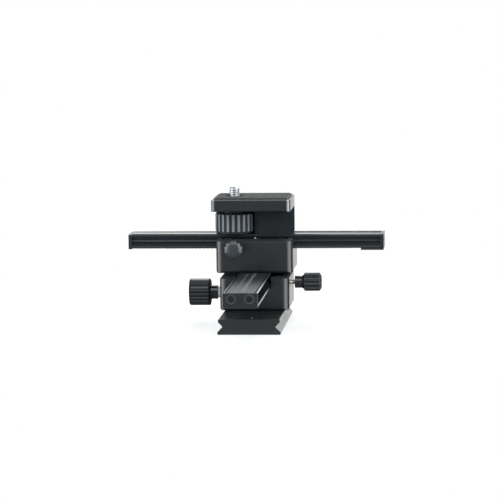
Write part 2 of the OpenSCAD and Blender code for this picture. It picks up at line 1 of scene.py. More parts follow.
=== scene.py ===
"""Two-axis macro focusing rail: finishes, threads, rail scales and grip ribs, under studio light."""
import math

import bmesh
import bpy
from mathutils import Matrix, Vector


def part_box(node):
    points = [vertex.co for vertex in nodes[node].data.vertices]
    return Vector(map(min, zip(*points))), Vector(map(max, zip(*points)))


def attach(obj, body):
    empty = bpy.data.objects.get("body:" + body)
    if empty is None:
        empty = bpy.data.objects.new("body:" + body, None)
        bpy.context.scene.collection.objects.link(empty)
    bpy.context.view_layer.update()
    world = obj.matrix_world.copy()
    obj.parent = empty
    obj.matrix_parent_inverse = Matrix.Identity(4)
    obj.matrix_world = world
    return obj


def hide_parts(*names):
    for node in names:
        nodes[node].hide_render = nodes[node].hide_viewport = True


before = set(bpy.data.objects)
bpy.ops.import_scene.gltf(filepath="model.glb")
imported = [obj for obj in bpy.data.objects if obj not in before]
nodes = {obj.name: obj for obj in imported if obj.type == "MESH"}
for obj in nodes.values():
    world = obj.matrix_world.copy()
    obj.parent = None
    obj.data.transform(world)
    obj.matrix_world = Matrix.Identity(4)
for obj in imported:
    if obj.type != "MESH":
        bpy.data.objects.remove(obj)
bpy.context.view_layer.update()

# A millimetre in metres, and the distance within which points are merged (mm)
MM = 0.001
MERGE = 0.002

# View: where the lens stands (mm), how it is turned (degrees),
# its focal length and sensor (mm), and how far it sees (m)
VIEW_PLACE = (140.31, -1644.68, 224.24)
VIEW_YAW = 5.0256
VIEW_PITCH = 6.2349
VIEW_ROLL = -0.71
VIEW_LENS = 193.7
VIEW_SENSOR = 36
VIEW_REACH = 90

# Way from each stage to its lock knob and to its drive knob
LOCK_AXES = {"y": (1, 0, 0), "x": (0, -1, 0)}
DRIVE_AXES = {"y": (-1, 0, 0), "x": (0, 1, 0)}

# Threads (mm): the metric lock screws and the quarter-inch screw of the platform
LOCK_PITCH = 0.5
LOCK_DEPTH = 0.27
STUD_PITCH = 1.27
STUD_DEPTH = 0.62
STUD_CHAMFER = 0.7

# Threaded socket under the base plate (mm): where it lies, and the ridge that winds up it
SOCKET_RADIUS = 2.6
SOCKET_DEPTH = 7.5
SOCKET_FROM_FRONT = 18.0
SOCKET_START = 0.3
RIDGE_FOOT = 0.02
RIDGE_HEIGHT = 0.34

# Rail finish (mm): depths below the top, distances in from the sides of the painted edge highlight and of
# the line, half widths of the line and of the painted highlight along the root, what stays free above the
# underside, and the blur of each border
SKIN_DEPTH = 0.6
ROOT_DEPTH = 4.0
LIP_DEPTH = 7.2
EDGE_HIGHLIGHT = 0.75
EDGE_LINE = 1.2
LINE_HALF = 0.4
ROOT_HALF = 0.5
FOOT_CLEAR = 0.08
BORDER_BLUR = 0.2

# Top of the upper rail (mm): the bright strip's back and front, and how skew it lies
STRIP_BACK = 1.0
STRIP_FRONT = -8.0
STRIP_SKEW = 0.04

# Top of the lower rail (mm from its front end): where it grows rougher and darker, a painted shadow of the
# upper stage, and where the painted highlights on its edges and lip fade out
DULL_SHADOW_FROM = 4.0
DULL_SHADOW_TO = 70.0
HIGHLIGHTS_TO = 70.0

# Painted highlights on the platform's upright front corners, as pale strips (mm): distance in from its
# sides, width, reach to the back, and the shades of the left and the right one
CORNER_INSET = 2.1
CORNER_WIDTH = 1.4
CORNER_REACH = 1.5
CORNER_SHADES = (0.12, 0.235)

# Dull top edge of the carriages (mm): its height, and how much less that is near the corners
MATTE_EDGE = 2.2
MATTE_LESS = 0.8
MATTE_CORNER = 4.0

# Heads of the cap screws (mm): their radius, and the radius where a painted highlight ring begins
HEAD_RADIUS = 2.7
HEAD_RIM = 2.4

# Rail scale (mm)
SCALE_REACH = 70
SCALE_GAP = 1
FIGURE_GAP = 4
TICK_WIDTH = 0.17
TICK_RAISE = 0.02
TICK_START = -1.7
TICK_LENGTHS = {1: 1.7, 5: 2.5, 10: 3.3}
FIGURE_STEP = 10
FIGURE_HEIGHT = 2.3
FIGURE_MIDDLE = 3.4

# Crown on the end of each lock knob (mm): the knob's own dome, the lobes' flutes and slope
LOCK_RIBS = 12
LOCK_FLUTE = 0.6
FLUTE_HALF = 0.5
KNOB_DOME = 1.2
CROWN_EDGE = 0.1
CROWN_DRAFT = 0.02
CROWN_SLOPE = 1.8
CROWN_RISE = 1.1
CROWN_BULGE = 0.52
CROWN_DOME = 0.2

# Drive knobs (mm): the neck behind the fluted body, the dull rim at both ends of that body,
# and how far that rim's finish runs over its end face
KNOB_NECK = 4.6
KNOB_RIM = 1.0
RIM_OVER = 0.04

# Moulded disc in the end of each drive knob (mm): its margin inside the knob, its ring and its groove
DISC_MARGIN = 2.75
DISC_THICK = 0.55
DISC_BEVEL = 0.25
DISC_RING = 1.0
RING_SINK = 0.05
GROOVE_WALL = 0.2
BOSS_SINK = 0.02

# Cheek of the head block beside the thumbwheel (mm): the pocket's room there, and what the cheek leaves
POCKET_SIDE = 2.7
CHEEK_GAP = 0.5
CHEEK_BACK = 4.5
CHEEK_BEVEL = 0.3

# Lip of the head block behind the upper rail (mm)
LIP_GAP = 0.3
LIP_DROP = 0.6
LIP_THICK = 2.0

# Ribs round the thumbwheel, and the depth of their turned faces (mm)
WHEEL_RIBS = 22
FACE_DEPTH = 0.16
FACE_BLUR = 0.06

# Grip ribs on the platform (mm)
RIB_STEP = 1.5
RIB_WIDTH = 0.8
RIB_HEIGHT = 0.35
RIB_SINK = 0.1
RIB_BEVEL = 0.15
RIB_MARGIN = 1.2
RING_CLEAR = 1.3

# Small marks at the middle of each carriage and of the base plate (mm)
DOT_RADIUS = 0.55
DOT_RAISE = 0.03
PIN_RISE = 0.6
DOT_BESIDE_RAIL = 1.6
BASE_DOT_SIDE = 1.2
BASE_DOT_BACK = 7.6

# Studio: strength of each light panel and of the rest of the room
LEFT_PANEL = 5.0
RIGHT_PANEL = 4.2
TOP_PANEL = 5.2
FRONT_PANEL = 3.2
ROOM_GLOW = 0.2
AHEAD_GLOW = 0.2
AHEAD_TINT = (0.93, 1.0, 1.05, 1)

# Studio: soft edges of the side panels, as turns from the front (radians) and as heights
LEFT_SPAN = ((0.15, 1.5), (1.5, 1.75))
RIGHT_SPAN = ((0.2, 0.85), (1.45, 1.6))
SIDE_LEVEL = ((-0.45, -0.2), (0.55, 0.85))

# Studio: where the upper panels lie, as Y and Z of a direction, and how far off it they fade
TOP_AIM = (0.62, 0.78)
TOP_RIM = (0.84, 0.96)
FRONT_AIM = (-0.669, 0.743)
FRONT_RIM = (0.93, 0.99)

# Studio: the backdrop's edges, its strength in the middle and what it gains to the left and right
BACKDROP_RIM = (0.85, 0.95)
BACKDROP_FOOT = (-0.45, -0.2)
BACKDROP_MIDDLE = 0.6
BACKDROP_LEFT = 0.7
BACKDROP_RIGHT = 0.5
AHEAD_RIM = (-0.2, 0.5)

# Floor (m): half its size, how far it lies below the base plate, and where it fades into white
FLOOR_SIZE = 40
FLOOR_DROP = 0.0002
FLOOR_FADE = (0.08, 0.3)
FLOOR_SHADE = 0.95
FLOOR_WHITE = 0.7


def box_mm(node):
    """Lowest and highest corner of a node, in millimetres."""
    low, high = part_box(node)
    return low / MM, high / MM


def middle_mm(node):
    """Middle of a node's box, in millimetres."""
    low, high = box_mm(node)
    return (low + high) / 2


class Wire:
    """One output in a node tree. Arithmetic on it adds Math nodes to that tree."""

    def __init__(self, tree, socket):
        self.tree = tree
        self.socket = socket

    def math(self, operation, *values):
        return self.tree.node("ShaderNodeMath", {"operation": operation}, values)

    def __add__(self, other):
        return self.math("ADD", self, other)

    def __radd__(self, other):
        return self.math("ADD", other, self)

    def __sub__(self, other):
        return self.math("SUBTRACT", self, other)

    def __rsub__(self, other):
        return self.math("SUBTRACT", other, self)

    def __mul__(self, other):
        return self.math("MULTIPLY", self, other)

    def __rmul__(self, other):
        return self.math("MULTIPLY", other, self)

    def absolute(self):
        return self.math("ABSOLUTE", self)

    def root(self):
        return self.math("SQRT", self)

    def cosine(self):
        return self.math("COSINE", self)

    def turn(self, ahead):
        """Angle from the way ahead towards this one, in radians."""
        return self.math("ARCTAN2", self, ahead)

    def step(self, low, high):
        """0 below low, 1 above high and smooth between."""
        return self.tree.node(
            "ShaderNodeMapRange",
            {"interpolation_type": "SMOOTHSTEP"},
            {"Value": self, "From Min": low, "From Max": high},
        )

    def past(self, place, blur):
        """For a distance: 0 before a place and 1 past it, blurred on both sides of it (mm)."""
        return self.step((place - blur) * MM, (place + blur) * MM)

    def band(self, rise, fall):
        """1 between two soft edges, each a pair of values, and 0 outside them."""
        return self.step(*rise) * (1 - self.step(*fall))


class Tree:
    """A node tree and the one method that adds nodes to it."""

    def __init__(self, tree):
        self.tree = tree
        tree.nodes.clear()

    def node(self, kind, settings=None, inputs=(), output=0):
        made = self.tree.nodes.new(kind)
        for key, value in (settings or {}).items():
            setattr(made, key, value)
        pairs = inputs.items() if isinstance(inputs, dict) else enumerate(inputs)
        for key, value in pairs:
            if isinstance(value, Wire):
                self.tree.links.new(value.socket, made.inputs[key])
            else:
                made.inputs[key].default_value = value
        return Wire(self, made.outputs[output]) if made.outputs else None

    def mix(self, mask, low, high, blend="MIX"):
        """Colour low where mask is 0 and colour high where it is 1."""
        settings = {"data_type": "RGBA", "blend_type": blend}
        return self.node("ShaderNodeMix", settings, {0: mask, 6: low, 7: high}, output=2)

    def split(self, vector, axis):
        """One part of a vector: X, Y or Z."""
        return self.node("ShaderNodeSeparateXYZ", {}, (vector,), output=axis)

    def length(self, vector):
        """How long a vector is."""
        return self.node("ShaderNodeVectorMath", {"operation": "LENGTH"}, (vector,), output="Value")

    def place(self, scale=(1, 1, 1), middle=(0, 0, 0)):
        """The point on the object, in metres from middle (mm), stretched by scale."""
        point = self.node("ShaderNodeTexCoord", output="Object")
        shift = tuple(-m * MM * s for m, s in zip(middle, scale))
        return self.node("ShaderNodeMapping", {}, {"Vector": point, "Location": shift, "Scale": scale})

    def coordinate(self, axis, middle=(0, 0, 0)):
        """Where the point on the object lies along X, Y or Z, in metres from middle (mm)."""
        return self.split(self.place(middle=middle), axis)

    def noise(self, size, scale=(1, 1, 1), detail=2.0):
        """Noise from 0 to 1 whose blotches are about size millimetres wide."""
        inputs = {"Vector": self.place(scale), "Scale": 1.0 / (size * MM), "Detail": detail}
        return self.node("ShaderNodeTexNoise", {}, inputs)


class Finish(Tree):
    """A material round one Principled shader, whose constant values are set on its own sockets."""

    def __init__(self, name, **constants):
        self.material = bpy.data.materials.new(name)
        self.material.use_nodes = True
        super().__init__(self.material.node_tree)
        inputs = {key.replace("_", " "): value for key, value in constants.items()}
        surface = self.node("ShaderNodeBsdfPrincipled", {}, inputs)
        self.node("ShaderNodeOutputMaterial", {}, (surface,))
        self.shader = surface.socket.node

    def feed(self, socket, wire):
        self.tree.links.new(wire.socket, self.shader.inputs[socket])

    def edges(self, radius):
        """A normal softened over a radius (mm), and a mask that is 1 along sharp edges."""
        soft = self.node("ShaderNodeBevel", {"samples": 6}, {"Radius": radius * MM})
        true = self.node("ShaderNodeNewGeometry", output="True Normal")
        same = self.node(
            "ShaderNodeVectorMath", {"operation": "DOT_PRODUCT"}, (soft, true), output="Value"
        )
        return soft, (1 - same).step(0.01, 0.2)

    def bump(self, height, strength, distance, normal=None):
        """Feeds the shader a normal with a relief of about distance millimetres."""
        inputs = {"Height": height, "Strength": strength, "Distance": distance * MM}
        if normal:
            inputs["Normal"] = normal
        self.feed("Normal", self.node("ShaderNodeBump", {}, inputs))


def grey(value, warm=0.0):
    """A near-neutral colour; a negative warm value is bluish."""
    return (value * (1 + warm), value, value * (1 - warm), 1)


def anodised(name, shade, worn, roughness, grain, gloss=0.5, matte_top=None, pale_corners=None):
    """Dyed aluminium, bead blasted: fine grain, faint clouding and paler edges.

    matte_top names a node whose top, with its rounded edge, is dull.
    pale_corners names a node whose upright front corners get painted highlights, as pale strips.
    """
    finish = Finish(name, IOR=1.55, Specular_IOR_Level=gloss)
    clouds = finish.noise(size=12, detail=3.0)
    speck = finish.noise(size=0.22, detail=1.0)
    soft, edge = finish.edges(radius=0.22)
    body = finish.mix(clouds * 0.6 + speck * 0.4, grey(shade * 0.85, -0.1), grey(shade * 1.18, -0.08))
    if pale_corners:
        # Painted highlights: pale strips on the upright front corners
        painted_highlight, pale = platform_highlights(finish, pale_corners)
        body = finish.mix(painted_highlight, body, pale)
    rough = clouds * 0.08 + speck * 0.06 + (roughness - 0.07)
    if matte_top:
        dull = carriage_dullness(finish, matte_top)
        rough = rough + dull * 0.6
        edge = edge * (1 - dull)
        finish.feed("Metallic", dull * 0.5)
    finish.feed("Base Color", finish.mix(edge * clouds, body, grey(worn, -0.04)))
    finish.feed("Roughness", rough)
    finish.bump(speck, strength=grain, distance=0.04, normal=soft)
    return finish.material


def platform_highlights(finish, node):
    """Mask and colour of the painted highlights: pale strips along a node's upright front corners."""
    low, high = box_mm(node)
    across = finish.coordinate("X", middle_mm(node))
    side = across.absolute()
    inner = (high.x - low.x) / 2 - CORNER_INSET
    strip = side.past(inner, 0.1) * (1 - side.past(inner + CORNER_WIDTH, 0.1))
    painted_highlight = strip * (1 - finish.coordinate("Y").past(low.y + CORNER_REACH, 0.3))
    pale = finish.mix(across.past(0, 1), *(grey(shade, -0.05) for shade in CORNER_SHADES))
    return painted_highlight, pale


def carriage_dullness(finish, node):
    """Mask of a carriage's top and its rounded top edge."""
    low, high = box_mm(node)
    side = finish.coordinate("X", middle_mm(node)).absolute()
    corner = side.past((high.x - low.x) / 2 - MATTE_CORNER, 1)
    under = high.z * MM - finish.coordinate("Z") + corner * (MATTE_LESS * MM)
    return 1 - under.step(0.5 * MATTE_EDGE * MM, MATTE_EDGE * MM)


def drawn_anodised(name, along, rail, top, flanks, lip_highlight, roughness, gloss, painted_highlight, root=0.0):
    """Anodised extrusion with hairlines along it: paler top, and painted light and shade.

    The groove's flanks take their own shades, painted for how light falls on them. Painted highlights lie
    on the lip and the top edges of the rail's near part, and along the groove root, stronger towards the
    left end. The top of the rail along X is rougher and darker but for a slightly skew strip in its near
    half. The top of the rail along Y grows rougher and darker towards the back, a painted shadow of the
    upper stage.
    """
    finish = Finish(name, IOR=1.5, Specular_IOR_Level=gloss)
    stretch = tuple(0.01 if axis == along else 1.0 for axis in "xyz")
    hair = finish.noise(size=0.3, scale=stretch)
    clouds = finish.noise(size=20)
    soft, edge = finish.edges(radius=0.2)
    low, high = box_mm(rail)
    ahead = finish.coordinate("Y")
    depth = high.z * MM - finish.coordinate("Z")
    left = 1 - finish.coordinate("X").past(0, 30)
    if along == "y":
        inward = high.x * MM - finish.coordinate("X").absolute()
        from_end = ahead - low.y * MM
        dull = from_end.step(DULL_SHADOW_FROM * MM, DULL_SHADOW_TO * MM)
        # The front stretch that gets the painted highlights on the lip and edges
        highlit_part = 1 - from_end.past(HIGHLIGHTS_TO, 20)
    else:
        inward = high.y * MM - ahead.absolute()
        across = ahead + finish.coordinate("X") * STRIP_SKEW
        dull = across.past(STRIP_BACK, 0.5) + 1 - across.past(STRIP_FRONT, 0.5)
        # The front side gets the painted highlight on the lip
        highlit_part = 1 - ahead.past(0, 1)
    off_line = (inward - EDGE_LINE * MM).absolute()
    off_root = (depth - ROOT_DEPTH * MM).absolute()
    above_foot = (high.z - low.z) * MM - depth
    below = depth.past(SKIN_DEPTH, BORDER_BLUR)
    # Painted shade: where dull the top is darker as well as rougher, on the rail along Y as the shadow of
    # the upper stage
    face = finish.mix(dull, grey(top, -0.03), grey(top * 0.2, -0.05))
    # Painted highlight along the top edges, away from the painted shade
    on_edge = (1 - inward.past(EDGE_HIGHLIGHT, 0.15)) * (1 - dull)
    face = finish.mix(on_edge, face, grey(top * 3, -0.03))
    face = finish.mix(1 - off_line.past(LINE_HALF, BORDER_BLUR), face, grey(flanks[0], -0.05))
    # Painted light and shade: each flank of the groove in its own shade, set for how light falls on it
    groove = finish.mix(depth.past(ROOT_DEPTH, BORDER_BLUR), *(grey(shade, -0.1) for shade in flanks))
    shade = finish.mix(below, face, groove)
    # Painted highlight on the lip, on the rail's near part only
    on_lip = depth.past(LIP_DEPTH, BORDER_BLUR) * above_foot.past(FOOT_CLEAR, FOOT_CLEAR / 2)
    shade = finish.mix(on_lip * highlit_part, shade, grey(lip_highlight, -0.03))
    # Painted highlight along the groove root, stronger towards the left end
    shine = (1 - off_root.past(ROOT_HALF, BORDER_BLUR)) * (left * 0.55 + 0.25) * root
    shade = finish.mix(shine, shade, grey(lip_highlight * 2.2, -0.03))
    streaks = finish.mix(hair, grey(0.75), grey(1.25))
    body = finish.mix(1.0, shade, streaks, blend="MULTIPLY")
    # Painted highlight on the sharp edges of the rail's near part
    finish.feed("Base Color", finish.mix(edge * highlit_part * painted_highlight, body, grey(0.4, -0.03)))
    rough = hair * 0.08 + clouds * 0.06 + (roughness - 0.07)
    finish.feed("Roughness", (rough + dull * 0.7 + edge * 0.4) * (1 - below) + below * 0.1)
    finish.bump(hair, strength=0.05, distance=0.03, normal=soft)
    return finish.material


def ringed_screw(name, screws, side):
    """Blackened heads of a pair of screws on each end of a rail, with a painted highlight: a paler ring
    round each head's edge.
    """
    finish = Finish(name, Metallic=0.4)
    low, high = box_mm(screws)
    middle = (low + high) / 2
    spot = (high - low)["XYZ".index(side)] / 2 - HEAD_RADIUS
    up = finish.coordinate("Z", middle)
    off = finish.coordinate(side, middle).absolute() - spot * MM
    rim = (off * off + up * up).root().past(HEAD_RIM, 0.1)
    # Painted highlight: a paler ring round the edge of each head
    finish.feed("Base Color", finish.mix(rim, grey(0.02), grey(0.09)))
    finish.feed("Roughness", finish.noise(size=0.6) * 0.1 + 0.3)
    return finish.material


def moulded_plastic(name, shade, roughness, worn=2.4, gloss=0.5, knob=None):
    """Moulded plastic with a spark-eroded texture.

    knob gives an axis and the two ends of a knob's fluted body on it (mm), whose rims are dull.
    """
    finish = Finish(name, IOR=1.5, Specular_IOR_Level=gloss)
    pebble = finish.noise(size=0.28)
    clouds = finish.noise(size=8)
    soft, edge = finish.edges(radius=0.25)
    rough = pebble * 0.14 + clouds * 0.05 + (roughness - 0.09)
    if knob:
        axis, outer, inner = knob
        half = abs(outer - inner) / 2
        off = finish.coordinate(axis, ((outer + inner) / 2,) * 3).absolute()
        dull = off.past(half - KNOB_RIM, 0.1) * (1 - off.past(half + RIM_OVER, RIM_OVER / 2))
        rough = rough + dull * 0.6
        edge = edge * (1 - dull)
        finish.feed("Metallic", dull * 0.6)
    body = finish.mix(clouds, grey(shade * 0.85, -0.1), grey(shade * 1.15, -0.08))
    finish.feed("Base Color", finish.mix(edge * 0.7, body, grey(shade * worn, -0.03)))
    finish.feed("Roughness", rough)
    finish.bump(pebble, strength=0.22, distance=0.04, normal=soft)
    return finish.material


def turned_wheel(name, wheel):
    """Black wheel whose rib faces were turned bright after dyeing."""
    finish = Finish(name, IOR=1.4, Specular_IOR_Level=0.3)
    low, high = box_mm(wheel)
    crest = (high.x - low.x) / 2
    point = finish.place(scale=(1, 1, 0), middle=(low + high) / 2)
    east = finish.split(point, "X")
    north = finish.split(point, "Y")
    ribs = (north.turn(east) * WHEEL_RIBS).cosine()
    bright = finish.length(point).past(crest - FACE_DEPTH, FACE_BLUR) * (1 - ribs.step(-0.5, 0.1))
    rings = finish.noise(size=0.2, scale=(0.05, 0.05, 1.0))
    clouds = finish.noise(size=6)
    face = finish.mix(rings * 0.6 + clouds * 0.4, grey(0.12, -0.08), grey(0.19, -0.06))
    finish.feed("Base Color", finish.mix(bright, grey(0.018, -0.18), face))
    finish.feed("Roughness", rings * 0.1 + 0.5)
    soft, _ = finish.edges(radius=0.15)
    finish.bump(rings, strength=0.1, distance=0.03, normal=soft)
    return finish.material


def bare_metal(name, colour, roughness):
    """Machined metal with fine tool marks and faint staining."""
    finish = Finish(name, Metallic=1.0)
    marks = finish.noise(size=0.3, detail=3.0)
    clouds = finish.noise(size=4)
    dark = tuple(part * 0.72 for part in colour) + (1,)
    soft, _ = finish.edges(radius=0.12)
    finish.feed("Base Color", finish.mix(clouds * 0.7 + marks * 0.3, dark, colour + (1,)))
    finish.feed("Roughness", marks * 0.14 + clouds * 0.08 + (roughness - 0.11))
    finish.bump(marks, strength=0.06, distance=0.03, normal=soft)
    return finish.material


def grip_rubber(name, shade):
    """Dusty black rubber."""
    finish = Finish(name, IOR=1.5)
    crumb = finish.noise(size=0.3, detail=3.0)
    dust = finish.noise(size=6, detail=3.0)
    finish.feed("Base Color", finish.mix(dust * 0.7 + crumb * 0.3, grey(shade * 0.7), grey(shade * 1.5)))
    finish.feed("Roughness", crumb * 0.12 + 0.72)
    finish.bump(crumb, strength=0.3, distance=0.06)
    return finish.material


def filling_paint(name, shade):
    """Pale paint wiped into engraved marks, a little worn."""
    finish = Finish(name)
    wear = finish.noise(size=0.7, detail=3.0)
    finish.feed("Base Color", finish.mix(wear, grey(shade * 0.65), grey(shade * 1.15)))
    finish.feed("Roughness", wear * 0.2 + 0.5)
    return finish.material


def knob_body(stage, axis):
    """Axis of a drive knob and the outer and inner end of its fluted body (mm)."""
    low, high = box_mm(f"{stage}_drive_knob")
    place = "XYZ".index(axis)
    if sum(DRIVE_AXES[stage]) < 0:
        return axis, low[place], high[place] - KNOB_NECK
    return axis, high[place], low[place] + KNOB_NECK


SATIN = {"shade": 0.012, "worn": 0.05, "roughness": 0.27, "grain": 0.05}
MATTE = {"roughness": 0.75, "grain": 0.25, "gloss": 0.0}
GLOSSY = {"shade": 0.008, "roughness": 0.14, "worn": 1.2}

black = anodised("black_anodised", **SATIN)
y_black = anodised("y_black_anodised", **SATIN, matte_top="y_carriage")
x_black = anodised("x_black_anodised", **SATIN, matte_top="x_carriage")
platform_black = anodised("platform_anodised", **{**SATIN, "shade": 0.009}, pale_corners="platform")
matte_black = anodised("matte_black_anodised", shade=0.019, worn=0.02, **MATTE)
# Painted light: the cheek is a lighter copy of the head block's matte black, so that in the shade of its
# recess it looks as bright as the head's front
cheek_lightened = anodised("cheek_anodised", shade=0.07, worn=0.07, **MATTE)
y_drawn = drawn_anodised(
    "y_drawn_anodised", "y", "y_rail",
    top=0.12, flanks=(0.008, 0.008), lip_highlight=0.4, roughness=0.36, gloss=0.0, painted_highlight=0.8,
)
x_drawn = drawn_anodised(
    "x_drawn_anodised", "x", "x_rail",
    top=0.02, flanks=(0.025, 0.007), lip_highlight=0.025, roughness=0.22, gloss=0.5, painted_highlight=0.0, root=0.9,
)
y_plastic = moulded_plastic("y_knob_plastic", **GLOSSY, knob=knob_body("y", "X"))
x_plastic = moulded_plastic("x_knob_plastic", **GLOSSY, knob=knob_body("x", "Y"))
plastic = moulded_plastic("black_plastic", **GLOSSY)
nylon = moulded_plastic("pale_nylon", shade=0.7, roughness=0.5, worn=1.0)
cap_plastic = moulded_plastic("cap_plastic", shade=0.005, roughness=0.4)
knob_plastic = moulded_plastic("knob_plastic", shade=0.014, roughness=0.24)
# Painted light: the crown takes a paler copy of the knob plastic, so that its lobes look lit from above
lit_lobe_plastic = moulded_plastic("lit_lobe_plastic", shade=0.03, roughness=0.18, worn=1.0)
gib_plastic = moulded_plastic("gib_plastic", shade=0.008, roughness=0.85, gloss=0.0)
wheel_finish = turned_wheel("turned_wheel", "thumbwheel")
steel = bare_metal("plain_steel", (0.62, 0.63, 0.65), roughness=0.30)
plated = bare_metal("plated_steel", (0.92, 0.87, 0.74), roughness=0.16)
blackened = bare_metal("blackened_steel", (0.075, 0.078, 0.082), roughness=0.38)
brass = bare_metal("brass", (0.74, 0.55, 0.27), roughness=0.30)
rubber = grip_rubber("grip_rubber", shade=0.02)
paint = filling_paint("filling_paint", shade=0.55)
faint_paint = filling_paint("faint_paint", shade=0.25)
y_ringed = ringed_screw("y_ringed_screw", "y_cap_screws", "X")
x_ringed = ringed_screw("x_ringed_screw", "x_cap_screws", "Y")

FINISHES = [
    (black, "base_plate y_rail_stop x_rail_stop"),
    (y_black, "y_carriage"),
    (x_black, "x_carriage"),
    (platform_black, "platform"),
    (matte_black, "head_block"),
    (y_drawn, "y_rail"),
    (x_drawn, "x_rail"),
    (y_plastic, "y_drive_knob"),
    (x_plastic, "x_drive_knob"),
    (knob_plastic, "y_lock_knob x_lock_knob"),
    (cap_plastic, "y_cap_front y_cap_back x_cap_left x_cap_right"),
    (wheel_finish, "thumbwheel"),
    (steel, "y_pinion_shaft x_pinion_shaft retaining_ring y_knob_grub x_knob_grub camera_screw"),
    (nylon, "y_drive_spacer x_drive_spacer"),
    (y_ringed, "y_cap_screws"),
    (x_ringed, "x_cap_screws"),
    (gib_plastic, "y_gib x_gib"),
    (blackened, "base_screws y_stop_screws x_stop_screws x_carriage_screws head_screws"),
    (blackened, "platform_screws y_rack x_rack y_rack_screws x_rack_screws y_gib_screws x_gib_screws"),
    (brass, "y_drive_bush x_drive_bush y_inner_bush x_inner_bush y_lock_shoe x_lock_shoe"),
    (brass, "thrust_washer"),
    (plated, "y_lock_screw x_lock_screw"),
    (rubber, "platform_pad"),
]


def dress_cad_nodes():
    """Gives each node of the CAD its finish."""
    for finish, names in FINISHES:
        for name in names.split():
            mesh = nodes[name].data
            mesh.materials.clear()
            mesh.materials.append(finish)


def add_piece(name, bm, finish, body):
    """Makes an object of a bmesh drawn in millimetres, which then rides on a body."""
    bmesh.ops.remove_doubles(bm, verts=bm.verts, dist=MERGE)
    bmesh.ops.recalc_face_normals(bm, faces=bm.faces)
    bmesh.ops.scale(bm, vec=(MM, MM, MM), verts=bm.verts)
    mesh = bpy.data.meshes.new(name)
    bm.to_mesh(mesh)
    bm.free()
    mesh.materials.append(finish)
    piece = bpy.data.objects.new(name, mesh)
    bpy.context.scene.collection.objects.link(piece)
    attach(piece, body)
    return piece


def smooth(piece, degrees=40):
    """Shades a piece smooth, except at edges sharper than that."""
    for face in piece.data.polygons:
        face.use_smooth = True
    piece.data.set_sharp_from_angle(angle=math.radians(degrees))


def edges_in(geometry):
    """The edges among the results of a bmesh operator."""
    return [item for item in geometry if isinstance(item, bmesh.types.BMEdge)]


def add_outline(bm, points):
    """Adds a chain of points given as (radius, height) in the XZ plane; returns its vertices and edges."""
    verts = [bm.verts.new((radius, 0, height)) for radius, height in points]
    edges = [bm.edges.new(pair) for pair in zip(verts, verts[1:])]
    return verts, edges


def add_box(bm, start, end, place=Matrix.Identity(4)):
    """Adds a box between two corners, drawn in the frame place; returns its vertices."""
    start = Vector(start)
    end = Vector(end)
    middle = Matrix.Translation((start + end) / 2)
    size = Matrix.Diagonal((*(end - start), 1))
    return bmesh.ops.create_cube(bm, size=1, matrix=place @ middle @ size)["verts"]


def bevel(bm, edges, width, segments):
    """Rounds edges over a width (mm)."""
    bmesh.ops.bevel(
        bm, geom=edges, offset=width, offset_type="OFFSET", affect="EDGES",
        segments=segments, profile=0.5, material=-1,
    )


def turned(profile, steps=48):
    """A closed body of revolution about Z; profile is a list of (radius, height) from axis to axis."""
    bm = bmesh.new()
    verts, edges = add_outline(bm, profile)
    bmesh.ops.spin(
        bm, geom=verts + edges, cent=(0, 0, 0), axis=(0, 0, 1), angle=2 * math.pi,
        steps=steps, use_merge=True,
    )
    bmesh.ops.remove_doubles(bm, verts=bm.verts, dist=MERGE)
    return bm


def wind(bm, geometry, pitch, turns, steps):
    """Winds an outline up the Z axis as a helix; returns where it ends."""
    return bmesh.ops.spin(
        bm, geom=geometry, cent=(0, 0, 0), axis=(0, 0, 1), dvec=(0, 0, pitch / steps),
        angle=2 * math.pi * turns, steps=steps * turns,
    )["geom_last"]


def screw_thread(radius, depth, pitch, length, steps=36):
    """A threaded rod about Z from 0 to length, closed at both ends."""
    bm = bmesh.new()
    crest = pitch / 8
    root = radius - depth
    verts, edges = add_outline(bm, [
        (root, -pitch), (radius, -pitch / 2 - crest), (radius, -pitch / 2 + crest), (root, 0),
    ])
    wind(bm, verts + edges, pitch, math.ceil(length / pitch) + 2, steps)
    bmesh.ops.remove_doubles(bm, verts=bm.verts, dist=MERGE)
    for height, up in ((0, -1), (length, 1)):
        cut = bmesh.ops.bisect_plane(
            bm, geom=bm.verts[:] + bm.edges[:] + bm.faces[:], plane_co=(0, 0, height),
            plane_no=(0, 0, up), clear_outer=True,
        )
        bmesh.ops.edgeloop_fill(bm, edges=edges_in(cut["geom_cut"]))
    return bm


def round_node(node, axis):
    """Of a round node along axis: the middle of its far end, its radius and its length (mm)."""
    low, high = box_mm(node)
    along = Vector(axis)
    length = abs((high - low).dot(along))
    return (low + high) / 2 + along * length / 2, (high.z - low.z) / 2, length


def stand(bm, axis, place):
    """Moves a shape drawn along +Z to a place, pointing along axis."""
    turn = Vector(axis).to_track_quat("Z", "Y").to_matrix().to_4x4()
    bmesh.ops.transform(bm, matrix=Matrix.Translation(place) @ turn, verts=bm.verts)


def hold_within(vert, radius):
    """Pulls a vertex in to a distance from the Z axis, where it lies farther out."""
    flat = vert.co.xy.length
    if flat > radius:
        vert.co.xy *= radius / flat


def lock_thread(stage, axis):
    """Threaded lock screw, from the shoe into the knob."""
    tip, radius, length = round_node(f"{stage}_lock_screw", axis)
    bm = screw_thread(radius, LOCK_DEPTH, LOCK_PITCH, length)
    stand(bm, axis, tip - Vector(axis) * length)
    piece = add_piece(f"{stage}_lock_thread", bm, plated, f"{stage}_lock")
    smooth(piece)
    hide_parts(f"{stage}_lock_screw")


